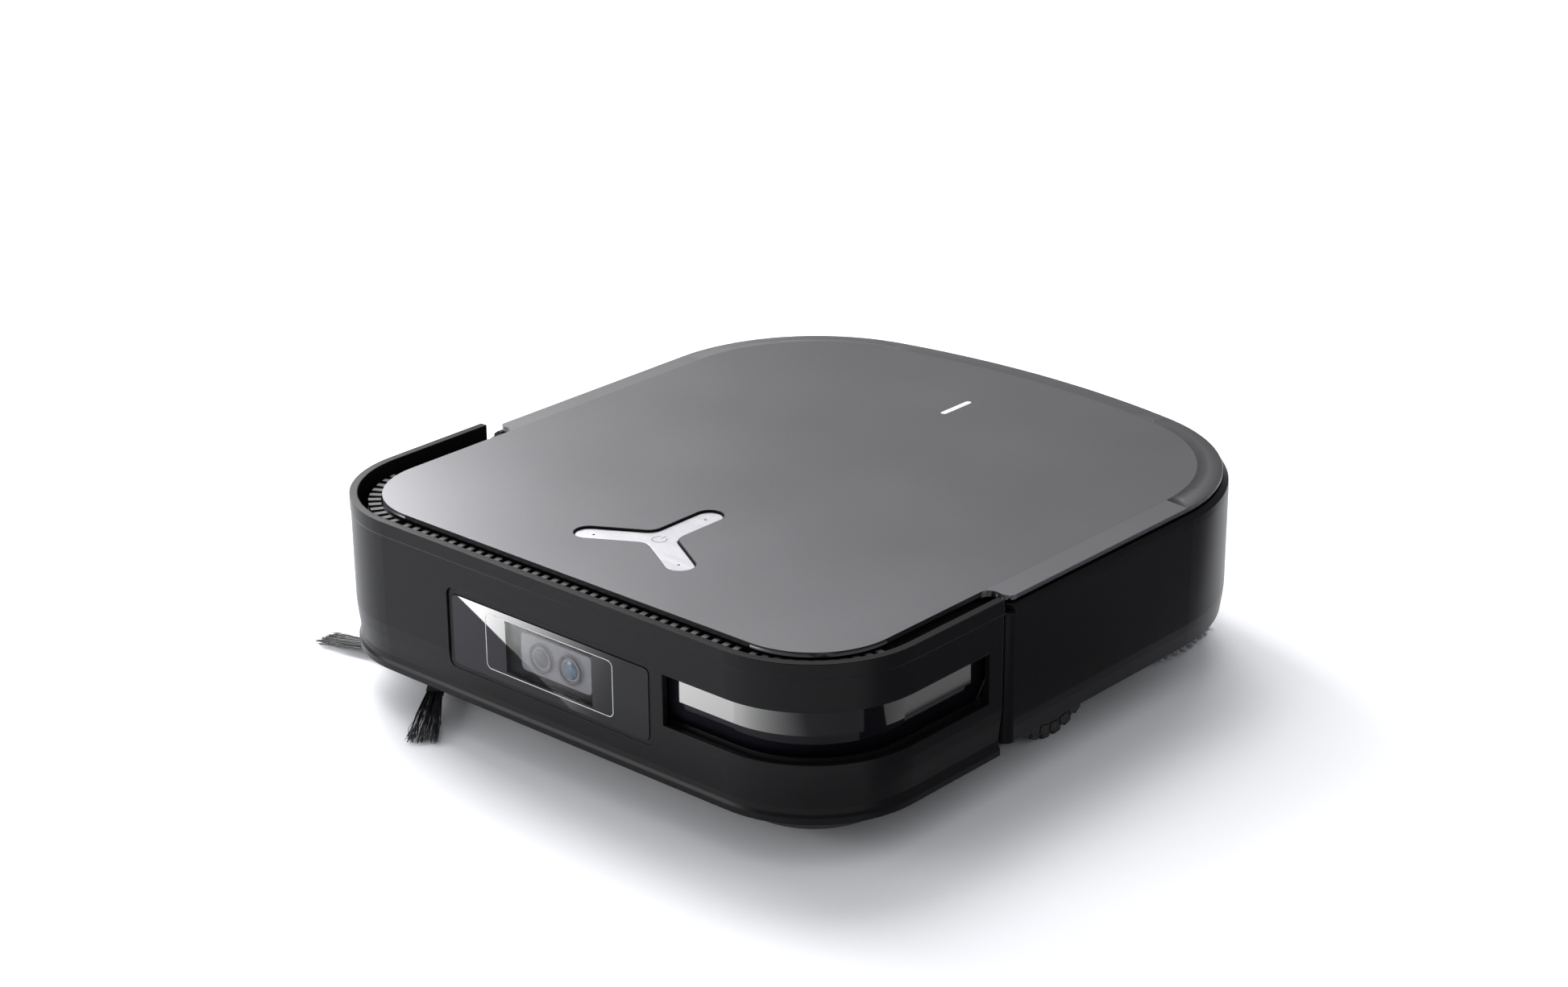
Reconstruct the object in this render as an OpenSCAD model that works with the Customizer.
// Robotic floor cleaner: vacuum and mop in one low body.
// Millimetres. Z up, floor at z = 0, front faces -Y, origin under the body's plan centre.

/* [Body] */
// Body width
body_w = 320; // [300:1:350]
// Body depth
body_d = 353; // [340:1:365]
// Top of the bumper rim
rim_z = 95; // [90:0.5:105]
// Underside of the floor pan
pan_z = 8.5; // [6:0.5:12]
// Front corner radius
front_r = 55.5; // [50:0.5:60]
// Rear corner radius
rear_r = 93.3; // [85:0.1:100]
// Radius of the long rear arc
back_r = 425; // [400:1:450]

/* [Cover] */
// Cover top
cover_z = 93.4; // [90:0.1:95]
// Cover half width beside the bumper
cover_x = 145; // [140:0.5:148]
// Front edge of the cover
cover_y = -161.3; // [-165:0.1:-155]
// Cover front corner radius
cover_r = 40; // [30:1:50]

/* [Button] */
// Y button centre, front to back
button_y = -105; // [-110:1:-100]
// Button top, sunk below the cover
button_z = 92.2; // [91:0.1:93]
// Y button arm length
button_r = 38.6; // [36:0.1:40]
// Y button arm width
button_w = 12.4; // [10:0.1:14]

/* [Running gear] */
// Tyre radius
tyre_r = 35; // [30:0.5:38]
// Tyre width
tyre_w = 22; // [18:1:26]
// Drive wheel centre, front to back
wheel_y = 3; // [-5:1:10]
// Caster wheel radius
caster_r = 13; // [10:1:16]

/* [Cleaning gear] */
// Main brush radius over the fins
brush_r = 19.5; // [17:0.5:22]
// Main brush length
brush_l = 166; // [150:1:170]
// Mop pad radius
pad_r = 66; // [60:1:68]
// Mop centre, side to side
mop_x = 69; // [67:0.5:75]
// Mop centre, front to back
mop_y = 110; // [100:1:112]

/* [Output] */
// Which sub-part to draw

/* [Hidden] */
$fn = 64;
hw = body_w / 2;
hd = body_d / 2;
fcx = hw - front_r;
fcy = -hd + front_r;
rcx = hw - rear_r;
back_cy = hd - back_r;
rcy = back_cy + sqrt(pow(back_r - rear_r, 2) - rcx * rcx);
rear_a = atan2(rcy - back_cy, rcx);
back_a = rear_a + 0.27;
seam_y = -62;
brush_y = -38;
brush_z = 21;
arm_y = 48;
arm_z = 38;
caster_y = -124;
side_x = -116;
side_y = -133;
scan_f = [112, -128];
scan_b = [-112, 122];
post_places = [[-84, 38], [84, 38], [-40, -149.4], [40, -149.4]];

// ---- outline helpers: a section drawn with x = 0 on the outline, minus inwards, y = height

module corner_front() {
  translate([fcx, fcy, 0]) rotate([0, 0, -90]) rotate_extrude(angle = 90)
    translate([front_r, 0]) children();
}

module run_side(y0, y1) {
  translate([hw, y1, 0]) rotate([90, 0, 0]) linear_extrude(y1 - y0) children();
}

module run_front(x0, x1) {
  translate([x1, -hd, 0]) rotate([0, 0, -90]) rotate([90, 0, 0]) linear_extrude(x1 - x0)
    children();
}

// The corner sweep runs a little past the tangent point and the long arc starts
// inside it, so the two solids cross cleanly
module corner_rear() {
  translate([rcx, rcy, 0]) rotate_extrude(angle = rear_a + 1.5) translate([rear_r, 0])
    children();
}

module run_rear() {
  translate([0, back_cy, 0]) rotate([0, 0, back_a]) rotate_extrude(angle = 180 - 2 * back_a)
    translate([back_r, 0]) children();
}

module sweep_front(y_end) {
  run_front(-fcx, fcx) children();
  corner_front() children();
  run_side(fcy, y_end) children();
  mirror([1, 0, 0]) corner_front() children();
  mirror([1, 0, 0]) run_side(fcy, y_end) children();
}

module sweep_back() {
  corner_rear() children();
  run_rear() children();
  mirror([1, 0, 0]) corner_rear() children();
}

module sweep_rear(y_start) {
  run_side(y_start, rcy) children();
  sweep_back() children();
  mirror([1, 0, 0]) run_side(y_start, rcy) children();
}

// Filled plan of the body, moved in by the inset
module plan(inset) {
  circle_f = front_r - inset;
  near_x = (rcy - 1 - back_cy) / tan(back_a);
  far_x = back_r * 1.1 * cos(back_a);
  far_y = back_cy + back_r * 1.1 * sin(back_a);
  translate([-fcx, -hd + inset]) square([2 * fcx, hd + rcy - inset]);
  translate([-hw + inset, fcy]) square([body_w - 2 * inset, rcy - fcy]);
  for (s = [-1, 1]) translate([s * fcx, fcy]) circle(circle_f, $fn = 96);
  for (s = [-1, 1]) translate([s * rcx, rcy]) circle(rear_r - inset, $fn = 128);
  intersection() {
    translate([0, back_cy]) circle(back_r - inset, $fn = 256);
    polygon([[near_x, rcy - 1], [-near_x, rcy - 1], [-far_x, far_y], [far_x, far_y]]);
  }
}

module plate(inset, z0, z1) {
  translate([0, 0, z0]) linear_extrude(z1 - z0) plan(inset);
}

module box(x0, x1, y0, y1, z0, z1) {
  translate([x0, y0, z0]) cube([x1 - x0, y1 - y0, z1 - z0]);
}

module post(x, y, z0, z1, r) {
  translate([x, y, z0]) cylinder(h = z1 - z0, r = r);
}

module bar_x(x0, x1, y, z, r) {
  translate([x0, y, z]) rotate([0, 90, 0]) cylinder(h = x1 - x0, r = r);
}

module round_rect(w, h, r) {
  square([w - 2 * r, h], center = true);
  square([w, h - 2 * r], center = true);
  for (sx = [-1, 1]) for (sy = [-1, 1])
    translate([sx * (w / 2 - r), sy * (h / 2 - r)]) circle(r);
}

// Upright rounded panel facing the front, between two depths
module front_panel(w, h, r, y0, y1, z) {
  translate([0, y1, z]) rotate([90, 0, 0]) linear_extrude(y1 - y0) round_rect(w, h, r);
}

// ---- chassis

module pan_section() {
  polygon([[-30, pan_z], [-22, pan_z], [-5.8, 22.5], [-5.8, 26], [-8, 26], [-8, 23.4],
    [-22.8, pan_z + 2.5], [-30, pan_z + 2.5]]);
}

module chassis_tub() {
  color([0.07, 0.07, 0.08]) difference() {
    union() {
      plate(25, pan_z + 0.03, pan_z + 2.45);
      sweep_front(-60) pan_section();
      sweep_rear(-60) pan_section();
      // wheel bay walls
      for (s = [0, 1]) mirror([s, 0, 0]) for (y = [-36.5, 60.5]) {
        box(94, 136, y - 0.8, y + 0.8, pan_z + 1, 40);
        box(135, 152, y - 0.8, y + 0.8, 24, 40);
      }
      // brush bay roof
      box(-90, 90, brush_y - 26, brush_y + 26, pan_z + 1, 46);
    }
    // brush bay with its mouth
    bar_x(-86.5, 86.5, brush_y, brush_z, 22);
    box(-86.5, 86.5, brush_y - 22, brush_y + 22, 0, brush_z);
    box(-74, 74, brush_y + 4, brush_y + 40, 26, 42);
    box(-89.2, 89.2, brush_y - 29.2, brush_y + 29.2, 0, 11.6);
    // wheel bays, open below
    for (s = [0, 1]) mirror([s, 0, 0]) box(95, 170, -35.6, 59.6, 0, 24);
    // mop recess
    for (s = [-1, 1]) post(s * mop_x, mop_y, 0, 30, 69.5);
    box(-40, 40, mop_y - 20, mop_y + 20, 0, 30);
    // side brush, caster and battery bays
    post(side_x, side_y, 0, 30, 17);
    post(0, caster_y, 0, 30, 24);
    box(-71.3, 71.3, -98.8, -68.8, 0, 30);
    // sensors through the pan
    for (p = [[-60, -146], [60, -146], [-133, -88], [133, -88]])
      translate([p[0], p[1], 5]) linear_extrude(30) square([16.4, 8.4], center = true);
    post(60, -130, 0, 30, 9.2);
  }
}

module front_frame() {
  color([0.05, 0.05, 0.055]) difference() {
    union() {
      sweep_front(-58.6) polygon([[-10, 26.1], [-8, 26.1], [-8, 84], [-10, 84]]);
      // returns closing the seam behind the bumper
      for (s = [0, 1]) mirror([s, 0, 0]) box(150, 155.2, -58.6, -56.6, 26.3, 84);
    }
    // camera, bumper sensor and scanner openings
    front_panel(100, 36, 3, -172, -160, 56);
    for (s = [-1, 1]) box(s * 70 - 2.4, s * 70 + 2.4, -172, -160, 32.6, 37.4);
    box(62, 170, -180, -65, 44, 80);
  }
}

module deck_posts() {
  color([0.07, 0.07, 0.08]) for (p = post_places) difference() {
    post(p[0], p[1], pan_z + 2.6, 83.9, 3.6);
    post(p[0], p[1], pan_z + 2, 40, 1.3);
  }
}

module rear_section() {
  polygon([[-5.6, 24.5], [-1.4, 24.5], [-0.35, 32], [0, 36], [0, 84], [-0.2, 87.4],
    [-2.7, 89.3], [-5.4, 89.3], [-5.4, 87.6], [-2.6, 86.4], [-2.6, 26.2], [-5.6, 26.2]]);
}

module rear_shell() {
  color([0.09, 0.09, 0.1]) difference() {
    union() {
      sweep_rear(-54) rear_section();
      for (s = [0, 1]) mirror([s, 0, 0]) intersection() {
        translate([hw - 4.6, -54, 25]) cylinder(h = 61, r = 4.6);
        box(hw - 4.6, hw, -59, -53, 25, 86);
      }
    }
    // rear scanner slot
    translate([-rcx, rcy, 49]) rotate([0, 0, 112]) rotate_extrude(angle = 56)
      translate([rear_r - 8, 0]) square([12, 24]);
    // dock window and charging contacts
    box(-16, 16, 160, 190, 52, 68);
    for (s = [-1, 1]) box(s * 40 - 9, s * 40 + 9, 160, 190, 32, 41);
    // side air outlet, on the left side
    for (i = [0:8]) box(-170, -150, 22 + i * 4, 24 + i * 4, 44, 64);
  }
}

module deck() {
  color([0.12, 0.12, 0.13]) difference() {
    union() {
      intersection() {
        plate(8.2, 84, 86.4);
        box(-170, 170, -180, -58, 80, 90);
      }
      intersection() {
        plate(5.8, 84, 86.4);
        box(-170, 170, -58, 180, 80, 90);
      }
      // collar round the dust bin bay
      difference() {
        box(-78, 78, -14, 74, 80, 86.4);
        box(-76, 76, -12, 72, 79, 87);
      }
    }
    box(-76, 76, -12, 72, 79, 87);
    translate([0, button_y, 80]) linear_extrude(10) y_plan(button_r - 3, button_w - 3, 9.5);
    translate([-60.5, -52, 80]) cube([19, 9, 10]);
    for (p = [[-130, -20], [130, -20], [-110, 110], [110, 110]]) post(p[0], p[1], 84.9, 90, 5.1);
  }
}

module vent_comb() {
  color([0.05, 0.05, 0.05]) intersection() {
    union() {
      sweep_front(-60) polygon([[-14.4, 86.5], [-8.4, 86.5], [-8.4, 87.3], [-14.4, 87.3]]);
      for (i = [-17:17]) translate([i * 5.9, -165.2, 87]) rotate([0, 0, 4])
        translate([-1.5, -4, 0]) cube([3, 8, 3.4]);
      for (s = [0, 1]) mirror([s, 0, 0]) for (a = [6:7.5:87])
        translate([fcx, fcy, 87]) rotate([0, 0, a - 90]) translate([44.2, 0, 0])
          rotate([0, 0, 4]) translate([-4, -1.5, 0]) cube([8, 3, 3.4]);
    }
    translate([0, 0, 86]) linear_extrude(6) difference() {
      plan(8.4);
      plan(14.4);
    }
  }
}

module battery_pack() {
  color([0.16, 0.2, 0.3]) translate([-69, -97, 12]) difference() {
    union() {
      cube([138, 26, 46]);
      for (i = [0:3]) for (j = [0, 1])
        translate([2 + i * 34, 12 + j * 2, 10 + j * 24]) cube([32, 12.6, 3]);
    }
    translate([125, -1, 38]) cube([14, 10, 9]);
  }
}

module battery_door() {
  color([0.08, 0.08, 0.09]) difference() {
    union() {
      box(-71, 71, -98.5, -69.1, pan_z, 10.6);
      for (s = [-1, 1]) post(s * 62, -84, 9, 11.8, 3.4);
    }
    for (s = [-1, 1]) post(s * 62, -84, pan_z - 1, 9.8, 3.05);
    for (s = [-1, 1]) post(s * 62, -84, pan_z - 1, 12, 1.55);
    for (i = [-6:6]) box(i * 6 - 1, i * 6 + 1, -92, -76, pan_z - 1, pan_z + 0.5);
  }
}

module main_board() {
  color([0.03, 0.2, 0.1]) union() {
    box(-98, 98, -145, -72, 74, 75.6);
    box(-30, -6, -120, -96, 75.4, 77.6);
    box(10, 26, -116, -100, 75.4, 77.4);
    box(40, 54, -104, -92, 75.4, 79);
    for (i = [0:5]) box(-88 + i * 9, -81 + i * 9, -86, -77, 75.4, 81);
    for (i = [0:3]) post(60 + i * 9, -84, 75.4, 81, 3.2);
  }
}

module blower_housing() {
  color([0.1, 0.1, 0.11]) difference() {
    union() {
      post(78, 112, 45, 78, 36);
      box(78, 126, 76, 96, 50, 70);
      box(34, 60, 96, 110, 46, 74);
    }
    post(78, 112, 47, 76, 33);
    box(80, 124.5, 78, 94, 52, 68);
    box(33, 62, 98, 108, 48, 72);
    box(125, 128, 78, 94, 52, 68);
  }
}

module blower_impeller() {
  color([0.75, 0.75, 0.76]) translate([78, 112, 0]) difference() {
    union() {
      translate([0, 0, 50]) cylinder(h = 2, r = 29);
      translate([0, 0, 50]) cylinder(h = 18, r = 9);
      for (a = [0:30:330]) rotate([0, 0, a]) translate([8, -3, 51]) rotate([0, 0, 20])
        cube([20, 1.4, 13]);
      translate([0, 0, 68]) cylinder(h = 5, r = 3);
    }
    translate([0, 0, 63]) cylinder(h = 3, r = 4.5);
  }
}

module suction_duct() {
  color([0.14, 0.14, 0.15]) difference() {
    union() {
      box(-76, 76, -11.6, -9.8, 44.2, 60);
      box(-74, 74, -11.4, -6.2, 44.2, 60);
    }
    box(-70, 70, -13, -5, 46, 58);
  }
}

module roller_motor() {
  color([0.2, 0.2, 0.21]) union() {
    box(-106, -92.4, -56, -38.2, 12, 44);
    bar_x(-106, -70, -52, 58, 11.5);
    box(-106, -92.4, -64, -39, 44, 60);
  }
}

module side_brush_motor() {
  color([0.2, 0.2, 0.21]) difference() {
    union() {
      post(side_x, side_y, 30.4, 38, 17);
      box(side_x - 14, side_x + 24, side_y - 12, side_y + 12, 30.4, 40);
      bar_x(side_x + 4, side_x + 40, side_y, 48, 10);
      post(side_x, side_y, 22, 31, 9);
    }
    post(side_x, side_y, 20, 30, 3.05);
  }
}

module caster_socket() {
  color([0.15, 0.15, 0.16]) difference() {
    post(0, caster_y, 11.2, 40, 23.7);
    post(0, caster_y, 10, 32.4, 22.3);
    post(0, caster_y, 10, 38, 3.05);
  }
}

module caster_fork() {
  color([0.12, 0.12, 0.13]) difference() {
    union() {
      post(0, caster_y, 28.4, 32, 19);
      post(0, caster_y, 30, 37.4, 3);
      for (s = [-1, 1]) box(s * 10.5 - 1.5, s * 10.5 + 1.5, caster_y, caster_y + 14, 9, 29);
      for (s = [-1, 1]) bar_x(s * 10.5 - 1.5, s * 10.5 + 1.5, caster_y + 7, caster_r, 6);
    }
    bar_x(-14, 14, caster_y + 7, caster_r, 2.05);
  }
}

module caster_wheel() {
  color([0.25, 0.25, 0.26]) translate([0, caster_y + 7, caster_r]) rotate([0, 90, 0]) union() {
    rotate_extrude() polygon([[0, -8.4], [caster_r - 2, -8.4], [caster_r, -6], [caster_r, 6],
      [caster_r - 2, 8.4], [0, 8.4]]);
    translate([0, 0, -12]) cylinder(h = 24, r = 2);
  }
}

// ---- mopping gear

module mop_lift_motor() {
  color([0.2, 0.2, 0.21]) union() {
    post(-30, 156, 58, 83.6, 8);
    post(-30, 156, 47, 59, 2.5);
  }
}

module mop_lift_frame() {
  color([0.13, 0.13, 0.14]) difference() {
    union() {
      for (s = [-1, 1]) post(s * mop_x, mop_y, 20, 31, 27);
      box(-70, 70, mop_y - 13, mop_y + 13, 20, 31);
      bar_x(-26, 20, mop_y, 25, 9.4);
    }
    for (s = [-1, 1]) post(s * mop_x, mop_y, 15, 29, 5.05);
    for (s = [-1, 1]) post(s * mop_x, mop_y, 19, 22, 12);
  }
}

module mop_disc(s) {
  color([0.16, 0.16, 0.18]) translate([s * mop_x, mop_y, 0]) difference() {
    union() {
      translate([0, 0, 6.4]) cylinder(h = 3, r = 62);
      translate([0, 0, 9]) cylinder(h = 4, r = 16);
      translate([0, 0, 12]) cylinder(h = 16.6, r = 5);
      for (a = [0:60:300]) rotate([0, 0, a]) translate([14, -1.5, 9.2]) cube([40, 3, 3]);
    }
    translate([0, 0, 20]) cylinder(h = 10, r = 1.5);
  }
}

module mop_pad(s) {
  color([0.55, 0.53, 0.58]) translate([s * mop_x, mop_y, 0]) difference() {
    cylinder(h = 6.3, r = pad_r);
    translate([0, 0, 4]) cylinder(h = 3, r = 10);
  }
}

module mop_disc_left() { mop_disc(-1); }
module mop_disc_right() { mop_disc(1); }
module mop_pad_left() { mop_pad(-1); }
module mop_pad_right() { mop_pad(1); }

module water_tank() {
  color([0.75, 0.78, 0.82, 0.6]) difference() {
    box(-86, 20, 78, 150, 45, 80);
    box(-84, 18, 80, 148, 47, 78);
    post(-20, 84, 70, 90, 6);
    box(-38, -22, 147, 152, 44, 81);
  }
}

module water_pump() {
  color([0.2, 0.22, 0.26]) union() {
    box(24, 42, 122, 150, 47, 62);
    bar_x(20.2, 25, 136, 55, 3);
    post(33, 136, 34, 48, 2.5);
  }
}

module speaker() {
  color([0.1, 0.1, 0.1]) difference() {
    box(60, 92, -70, -40, 50, 66);
    post(78, -56, 64, 70, 13);
  }
}

module cliff_sensors() {
  color([0.1, 0.02, 0.02]) for (p = [[-60, -146], [60, -146], [-133, -88], [133, -88]])
    translate([p[0], p[1], pan_z + 0.3]) linear_extrude(9) square([16, 8], center = true);
}

module carpet_sensor() {
  color([0.3, 0.3, 0.31]) union() {
    post(60, -130, pan_z + 0.4, 20, 9);
    post(60, -130, 20, 24, 6);
  }
}

module charging_contacts() {
  color([0.85, 0.8, 0.65]) for (s = [-1, 1]) box(s * 40 - 8.8, s * 40 + 8.8, 166, 174, 32.2, 40.8);
}

module dock_receiver() {
  color([0.03, 0.01, 0.02]) box(-15.8, 15.8, 164, 175.6, 52.2, 67.8);
}

// ---- corner scanners

module window_section() {
  polygon([[-5.5, 60], [-5.5, 75], [-7, 75], [-7, 60], [-9.1, 49], [-7.6, 49]]);
}

module rear_window_section() {
  polygon([[-5.5, 60], [-5.5, 74], [-7, 74], [-7, 60], [-9.1, 49.6], [-7.6, 49.6]]);
}

module scanner_windows() {
  color([0.02, 0.02, 0.03]) union() {
    corner_front() window_section();
    run_front(65.5, fcx) window_section();
    run_side(fcy, -66.8) window_section();
    translate([-rcx, rcy, 0]) rotate([0, 0, 110]) rotate_extrude(angle = 60)
      translate([rear_r, 0]) rear_window_section();
  }
}

module scanner_housings() {
  color([0.04, 0.04, 0.04]) {
    difference() {
      union() {
        for (z = [[44.2, 48.6], [75.4, 79.8]]) {
          corner_front() translate([-30, z[0]]) square([21.6, z[1] - z[0]]);
          run_front(64.5, fcx) translate([-30, z[0]]) square([21.6, z[1] - z[0]]);
          run_side(fcy, -66) translate([-30, z[0]]) square([21.6, z[1] - z[0]]);
        }
        post(scan_f[0], scan_f[1], 40, 44.4, 17);
        box(64.5, 66.1, -167, -147, 48, 76);
        box(130, 151.4, -67.6, -66, 48, 76);
      }
      post(scan_f[0], scan_f[1], 42, 90, 3.05);
    }
    difference() {
      union() {
        for (z = [[43, 48.6], [75.4, 79.8]])
          translate([-rcx, rcy, 0]) rotate([0, 0, 112]) rotate_extrude(angle = 56)
            translate([rear_r - 36, z[0]]) square([29.6, z[1] - z[0]]);
        post(scan_b[0], scan_b[1], 41, 43.4, 17);
      }
      post(scan_b[0], scan_b[1], 40, 90, 3.05);
    }
  }
}

module rotor(p) {
  color([0.3, 0.32, 0.36]) translate([p[0], p[1], 0]) difference() {
    union() {
      translate([0, 0, 50]) cylinder(h = 3, r = 15);
      translate([0, 0, 53]) cylinder(h = 18, r = 11);
      translate([0, 0, 43.6]) cylinder(h = 7, r = 3);
    }
    translate([-12, 5, 54]) cube([24, 8, 16]);
  }
}

module scanner_front_rotor() { rotor(scan_f); }
module scanner_rear_rotor() { rotor(scan_b); }

module bumper_sensors() {
  color([0.15, 0.15, 0.16]) for (s = [-1, 1]) {
    box(s * 70 - 6, s * 70 + 6, -166.4, -158, 30, 40);
    box(s * 70 - 2, s * 70 + 2, -169, -166, 33, 37);
  }
}

module bumper_springs() {
  color([0.7, 0.7, 0.72]) for (s = [-1, 1]) for (i = [0:4])
    translate([s * 88, -172.4 + i * 0.7, 36]) rotate([90, 0, 0]) rotate_extrude()
      translate([4, 0]) circle(0.3, $fn = 12);
}

module shell_screws() {
  color([0.6, 0.6, 0.62]) for (p = post_places) difference() {
    post(p[0], p[1], 6.9, pan_z, 2.8);
    translate([p[0], p[1], 6.5]) cylinder(h = 1.4, r = 1.3, $fn = 6);
  }
}

module main_switch() {
  color([0.7, 0.08, 0.06]) union() {
    box(-59.5, -47, -51.5, -43.5, 83, 87);
    for (i = [0:2]) box(-56 + i * 2.6, -55 + i * 2.6, -51, -44, 86.8, 87.6);
  }
}

// ---- bumper

module bumper_section() {
  polygon([[-3.4, 21.6], [-0.7, 21.6], [-0.7, 24.4], [-1.5, 25.8], [-1.9, 28.5], [-1.6, 32],
    [-0.9, 38], [-0.4, 44], [-0.3, 88], [0, 88.6], [0, 95], [-3.75, 95], [-3.75, 84],
    [-2.9, 82], [-3.4, 26]]);
}

module slot_cut() {
  corner_front() translate([-8, 49.2]) square([12, 23.8]);
  run_front(68.7, fcx) translate([-8, 49.2]) square([12, 23.8]);
  run_side(fcy, -70.8) translate([-8, 49.2]) square([12, 23.8]);
}

module bumper_shell() {
  color([0.08, 0.08, 0.09]) difference() {
    sweep_front(seam_y) bumper_section();
    slot_cut();
    front_panel(126, 39, 4, -180, -168, 56);
  }
}

module camera_bezel() {
  color([0.03, 0.03, 0.03]) difference() {
    union() {
      front_panel(125.8, 38.8, 3.9, -hd + 1.2, -172.9, 56);
      front_panel(130, 42, 5, -172.9, -171.8, 56);
    }
    front_panel(120.4, 33.7, 2.6, -hd - 1, -173.6, 55.65);
    front_panel(90, 29, 3, -hd - 1, -171, 55.65);
  }
}

module camera_glass() {
  color([0.02, 0.02, 0.03, 0.35]) front_panel(120, 33.3, 2.4, -hd + 0.9, -173.6, 55.65);
}

module camera_module() {
  color([0.5, 0.5, 0.53]) union() {
    front_panel(43, 18, 2.5, -171, -169.6, 55);
    front_panel(86, 27, 2, -169.7, -167.3, 55.65);
    for (x = [-8, 10]) translate([x, -170.9, 55.3]) rotate([90, 0, 0]) cylinder(h = 1.3, r = 7);
  }
}

// ---- top cover

module cover_plan_front() {
  translate([-cover_x + cover_r, cover_y]) square([2 * (cover_x - cover_r), 110]);
  translate([-cover_x, cover_y + cover_r]) square([2 * cover_x, -59 - cover_y - cover_r + 6]);
  for (s = [-1, 1]) translate([s * (cover_x - cover_r), cover_y + cover_r])
    circle(cover_r, $fn = 96);
}

// Shoulder strip in plan beside the bumper: a hollow fillet, a short step and a round corner
module shoulder_plan() {
  translate([140, -54]) square([12, 10]);
  translate([140, -49]) square([17, 200]);
  translate([152, -49]) circle(5);
  difference() {
    translate([144, -59]) square([6, 5.5]);
    translate([150, -59]) circle(5);
  }
}

module shoulder_section() {
  polygon([[-17, cover_z - 3], [-3.3, cover_z - 3], [-3, cover_z - 2.6], [-3, cover_z - 1.2],
    [-3.4, cover_z - 0.9], [-15, cover_z - 0.03], [-17, cover_z - 0.03]]);
}

// Three round-ended arms with a hollow fillet of radius f in each corner between them
module y_plan(r, w, f) {
  for (a = [90, 210, 330]) rotate([0, 0, a]) {
    translate([0, -w / 2]) square([r - w / 2, w]);
    translate([r - w / 2, 0]) circle(w / 2);
  }
  d = (w / 2 + f) / sin(60);
  t = d * cos(60);
  for (a = [30, 150, 270]) rotate([0, 0, a]) difference() {
    polygon([[0, 0], [t * cos(60) + w / 2 * sin(60), t * sin(60) - w / 2 * cos(60)],
      [t * cos(60) + w / 2 * sin(60), w / 2 * cos(60) - t * sin(60)]]);
    translate([d, 0]) circle(f);
  }
}

module top_cover() {
  color([0.55, 0.54, 0.57]) difference() {
    union() {
      translate([0, 0, cover_z - 2.2]) linear_extrude(2.2) cover_plan_front();
      translate([0, 0, cover_z - 2.2]) linear_extrude(2.2) intersection() {
        plan(15);
        translate([-170, -59]) square([340, 260]);
      }
      for (s = [0, 1]) mirror([s, 0, 0]) intersection() {
        translate([0, 0, 80]) linear_extrude(20) shoulder_plan();
        run_side(-59, rcy) shoulder_section();
      }
      sweep_back() shoulder_section();
      for (p = [[-130, -20], [130, -20], [-110, 110], [110, 110]])
        post(p[0], p[1], 87.4, 91.4, 5);
    }
    translate([0, button_y, 80]) linear_extrude(20) y_plan(button_r + 0.8, button_w + 1.6, 7.2);
    for (p = [[-130, -20], [130, -20], [-110, 110], [110, 110]]) post(p[0], p[1], 86, 90.5, 4.05);
  }
}

module cover_magnets() {
  color([0.75, 0.75, 0.77])
    for (p = [[-130, -20], [130, -20], [-110, 110], [110, 110]]) post(p[0], p[1], 87.4, 90.4, 4);
}

module power_button() {
  color([0.5, 0.49, 0.52]) difference() {
    translate([0, button_y, 88]) linear_extrude(button_z - 88) y_plan(button_r, button_w, 8);
    translate([0, button_y, 86]) linear_extrude(4.6) y_plan(button_r - 1.4, button_w - 2.8, 9.4);
    for (a = [90, 210, 330]) translate([0, button_y, 90]) rotate([0, 0, a])
      translate([30, 0, 0]) cylinder(h = 5, r = 0.65, $fn = 24);
  }
}

module button_board() {
  color([0.03, 0.2, 0.1]) union() {
    translate([0, button_y, 80.5]) linear_extrude(1.4) y_plan(button_r - 1, button_w + 2, 7);
    post(0, button_y, 81.6, 87, 3);
    for (a = [90, 210, 330]) translate([0, button_y, 81.7]) rotate([0, 0, a])
      translate([30, 0, 0]) cylinder(h = 1.4, r = 2);
  }
}

// ---- dust bin

module dust_bin() {
  color([0.3, 0.31, 0.34]) difference() {
    box(-75, 75, -4.6, 70, 46.6, 84.2);
    box(-73, 73, -2.6, 68, 48.6, 90);
    box(-68, 68, -6, 0, 49, 57);
    box(-40, 40, 66, 72, 55, 78);
  }
}

module dust_filter() {
  color([0.85, 0.85, 0.82]) union() {
    box(-44, 44, 62, 67.8, 52, 80);
    for (i = [-10:10]) box(i * 4 - 1, i * 4 + 1, 59, 62.2, 54, 78);
  }
}

module bin_lid() {
  color([0.35, 0.36, 0.4]) difference() {
    union() {
      box(-74.6, 74.6, -4.2, 66, 84.6, 87);
      bar_x(-70, 70, 67.6, 86.2, 1.9);
    }
    post(0, 10, 85.9, 88, 12);
  }
}

// ---- drive wheels: drawn on the right, mirrored for the left

module wheel_arm() {
  difference() {
    union() {
      box(97, 114.8, wheel_y - 12, arm_y + 7, 28, 52);
      bar_x(97, 114.8, wheel_y, 35, 16);
      bar_x(99, 134, 42, 63, 10.5);
      box(99, 114.8, 31, 53, 50, 64);
    }
    bar_x(95, 136, arm_y, arm_z, 3);
    bar_x(108, 116, wheel_y, 35, 4.05);
  }
}

module wheel_hub() {
  difference() {
    union() {
      bar_x(117.6, 137.6, wheel_y, 35, 26.6);
      bar_x(109, 118, wheel_y, 35, 4);
    }
    bar_x(131, 140, wheel_y, 35, 23);
    for (a = [0:60:300]) translate([117, wheel_y, 35]) rotate([a, 0, 0])
      translate([0, -4, 9]) cube([5, 8, 12]);
  }
  bar_x(130, 136, wheel_y, 35, 8);
}

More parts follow.
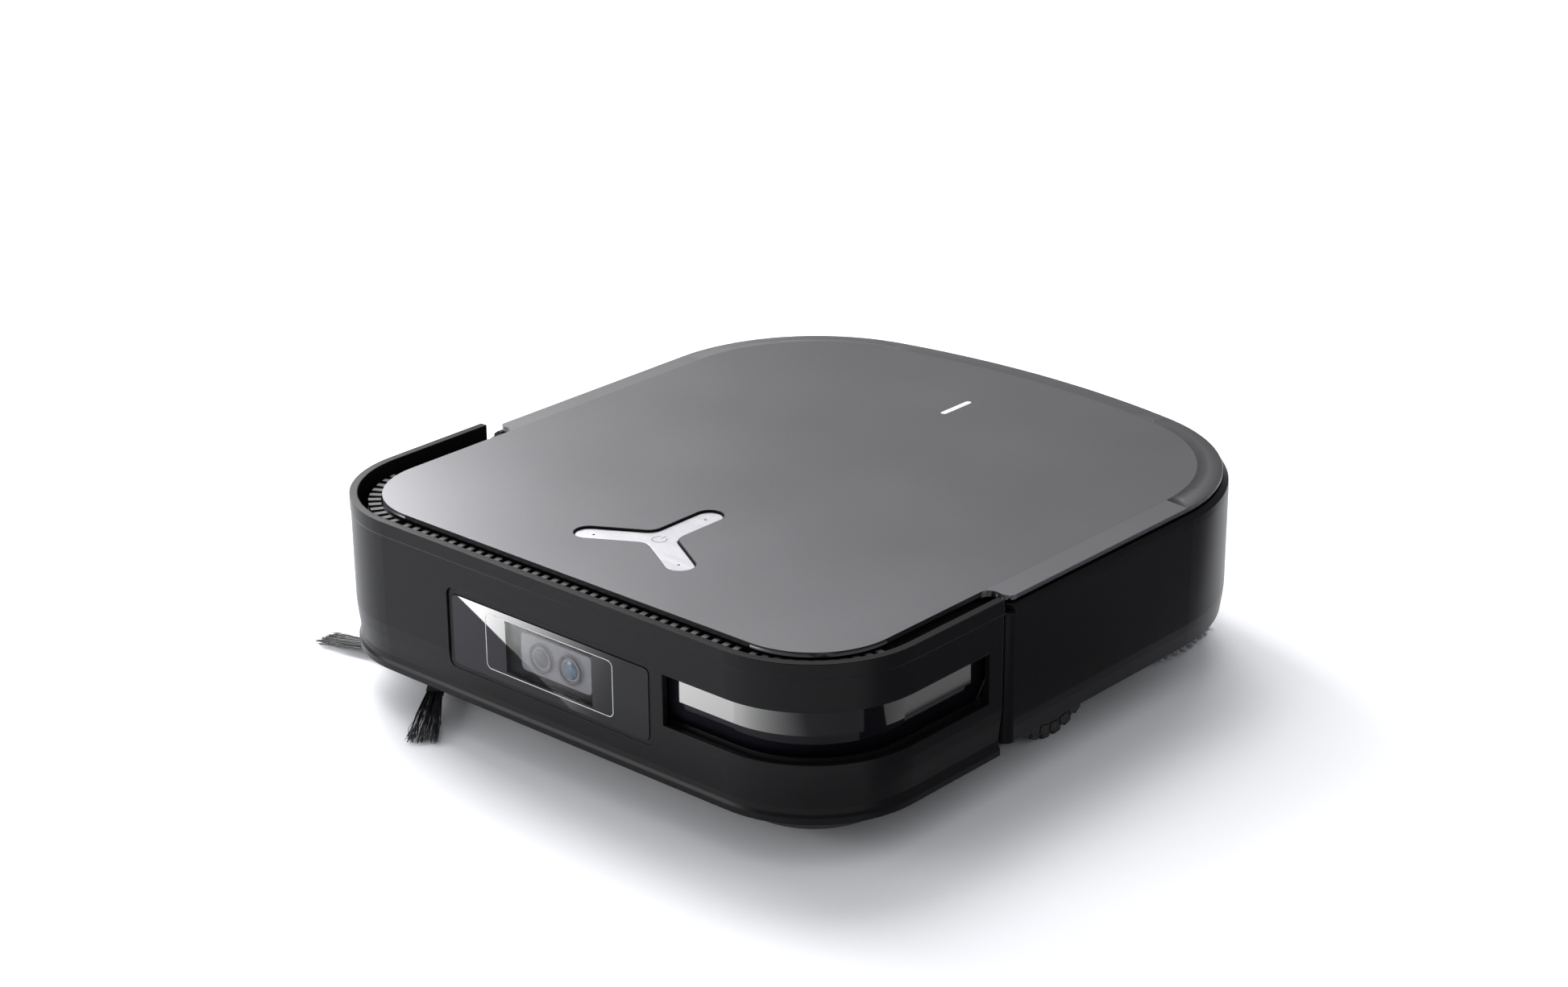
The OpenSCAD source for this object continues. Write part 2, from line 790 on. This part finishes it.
module tyre() {
  difference() {
    union() {
      bar_x(117.2, 117.2 + tyre_w, wheel_y, 35, tyre_r - 2.2);
      for (a = [0:15:345]) translate([0, wheel_y, 35]) rotate([a, 0, 0])
        intersection() {
          bar_x(117.2, 117.2 + tyre_w, 0, 0, tyre_r);
          box(117.2, 117.2 + tyre_w, -2.9, 2.9, tyre_r - 6, tyre_r + 1);
        }
    }
    bar_x(110, 145, wheel_y, 35, 26.7);
  }
}

module wheel_arm_right() { color([0.14, 0.14, 0.15]) wheel_arm(); }
module wheel_arm_left() { color([0.14, 0.14, 0.15]) mirror([1, 0, 0]) wheel_arm(); }
module wheel_hub_right() { color([0.2, 0.2, 0.21]) wheel_hub(); }
module wheel_hub_left() { color([0.2, 0.2, 0.21]) mirror([1, 0, 0]) wheel_hub(); }
module tyre_right() { color([0.06, 0.06, 0.06]) tyre(); }
module tyre_left() { color([0.06, 0.06, 0.06]) mirror([1, 0, 0]) tyre(); }

// ---- brushes

module roller_core() {
  color([0.2, 0.2, 0.22]) union() {
    bar_x(-brush_l / 2, brush_l / 2, brush_y, brush_z, 13);
    bar_x(-brush_l / 2 - 3, brush_l / 2 + 3, brush_y, brush_z, 4);
  }
}

module roller_fins() {
  color([0.25, 0.25, 0.3]) difference() {
    union() {
      bar_x(-brush_l / 2 + 1, brush_l / 2 - 1, brush_y, brush_z, 14.4);
      for (a = [0:60:300]) translate([0, brush_y, brush_z]) rotate([a, 0, 0])
        box(-brush_l / 2 + 1, brush_l / 2 - 1, -0.9, 0.9, 13.6, brush_r);
    }
    bar_x(-brush_l / 2, brush_l / 2, brush_y, brush_z, 13.05);
  }
}

module brush_guard() {
  color([0.1, 0.1, 0.11]) difference() {
    union() {
      box(-89, 89, brush_y - 29, brush_y + 29, pan_z, 10.8);
      for (s = [-1, 1]) box(s * 70 - 8, s * 70 + 8, brush_y + 27, brush_y + 29, 10, 11);
    }
    box(-84, 84, brush_y - 21.4, brush_y + 21.4, 5, 15);
  }
}

module side_brush_hub() {
  color([0.12, 0.12, 0.13]) translate([side_x, side_y, 0]) union() {
    translate([0, 0, 4.2]) cylinder(h = 5, r = 12);
    translate([0, 0, 9]) cylinder(h = 20, r = 3);
    for (a = [69.5, 189.5, 309.5]) rotate([0, 0, a]) translate([8, -4, 4.9]) rotate([0, 4, 0])
      cube([22, 8, 3]);
  }
}

module side_brush_tufts() {
  color([0.5, 0.5, 0.52]) translate([side_x, side_y, 0])
    for (a = [69.5, 189.5, 309.5]) rotate([0, 0, a]) translate([30.4, 0, 4.7])
      rotate([0, 4.8, 0]) for (j = [-2:2]) rotate([0, 0, j * 3.2])
        translate([0, -0.6, -0.6]) cube([43, 1.2, 1.2]);
}

chassis_tub();
front_frame();
deck_posts();
rear_shell();
deck();
vent_comb();
battery_pack();
battery_door();
main_board();
blower_housing();
blower_impeller();
suction_duct();
roller_motor();
side_brush_motor();
caster_socket();
caster_fork();
caster_wheel();
mop_lift_motor();
mop_lift_frame();
mop_disc_left();
mop_disc_right();
mop_pad_left();
mop_pad_right();
water_tank();
water_pump();
speaker();
cliff_sensors();
carpet_sensor();
charging_contacts();
dock_receiver();
scanner_housings();
scanner_windows();
scanner_front_rotor();
scanner_rear_rotor();
bumper_sensors();
bumper_springs();
shell_screws();
main_switch();
bumper_shell();
camera_bezel();
camera_glass();
camera_module();
top_cover();
cover_magnets();
dust_bin();
dust_filter();
bin_lid();
power_button();
button_board();
wheel_arm_left();
wheel_arm_right();
wheel_hub_left();
wheel_hub_right();
tyre_left();
tyre_right();
roller_core();
roller_fins();
brush_guard();
side_brush_hub();
side_brush_tufts();
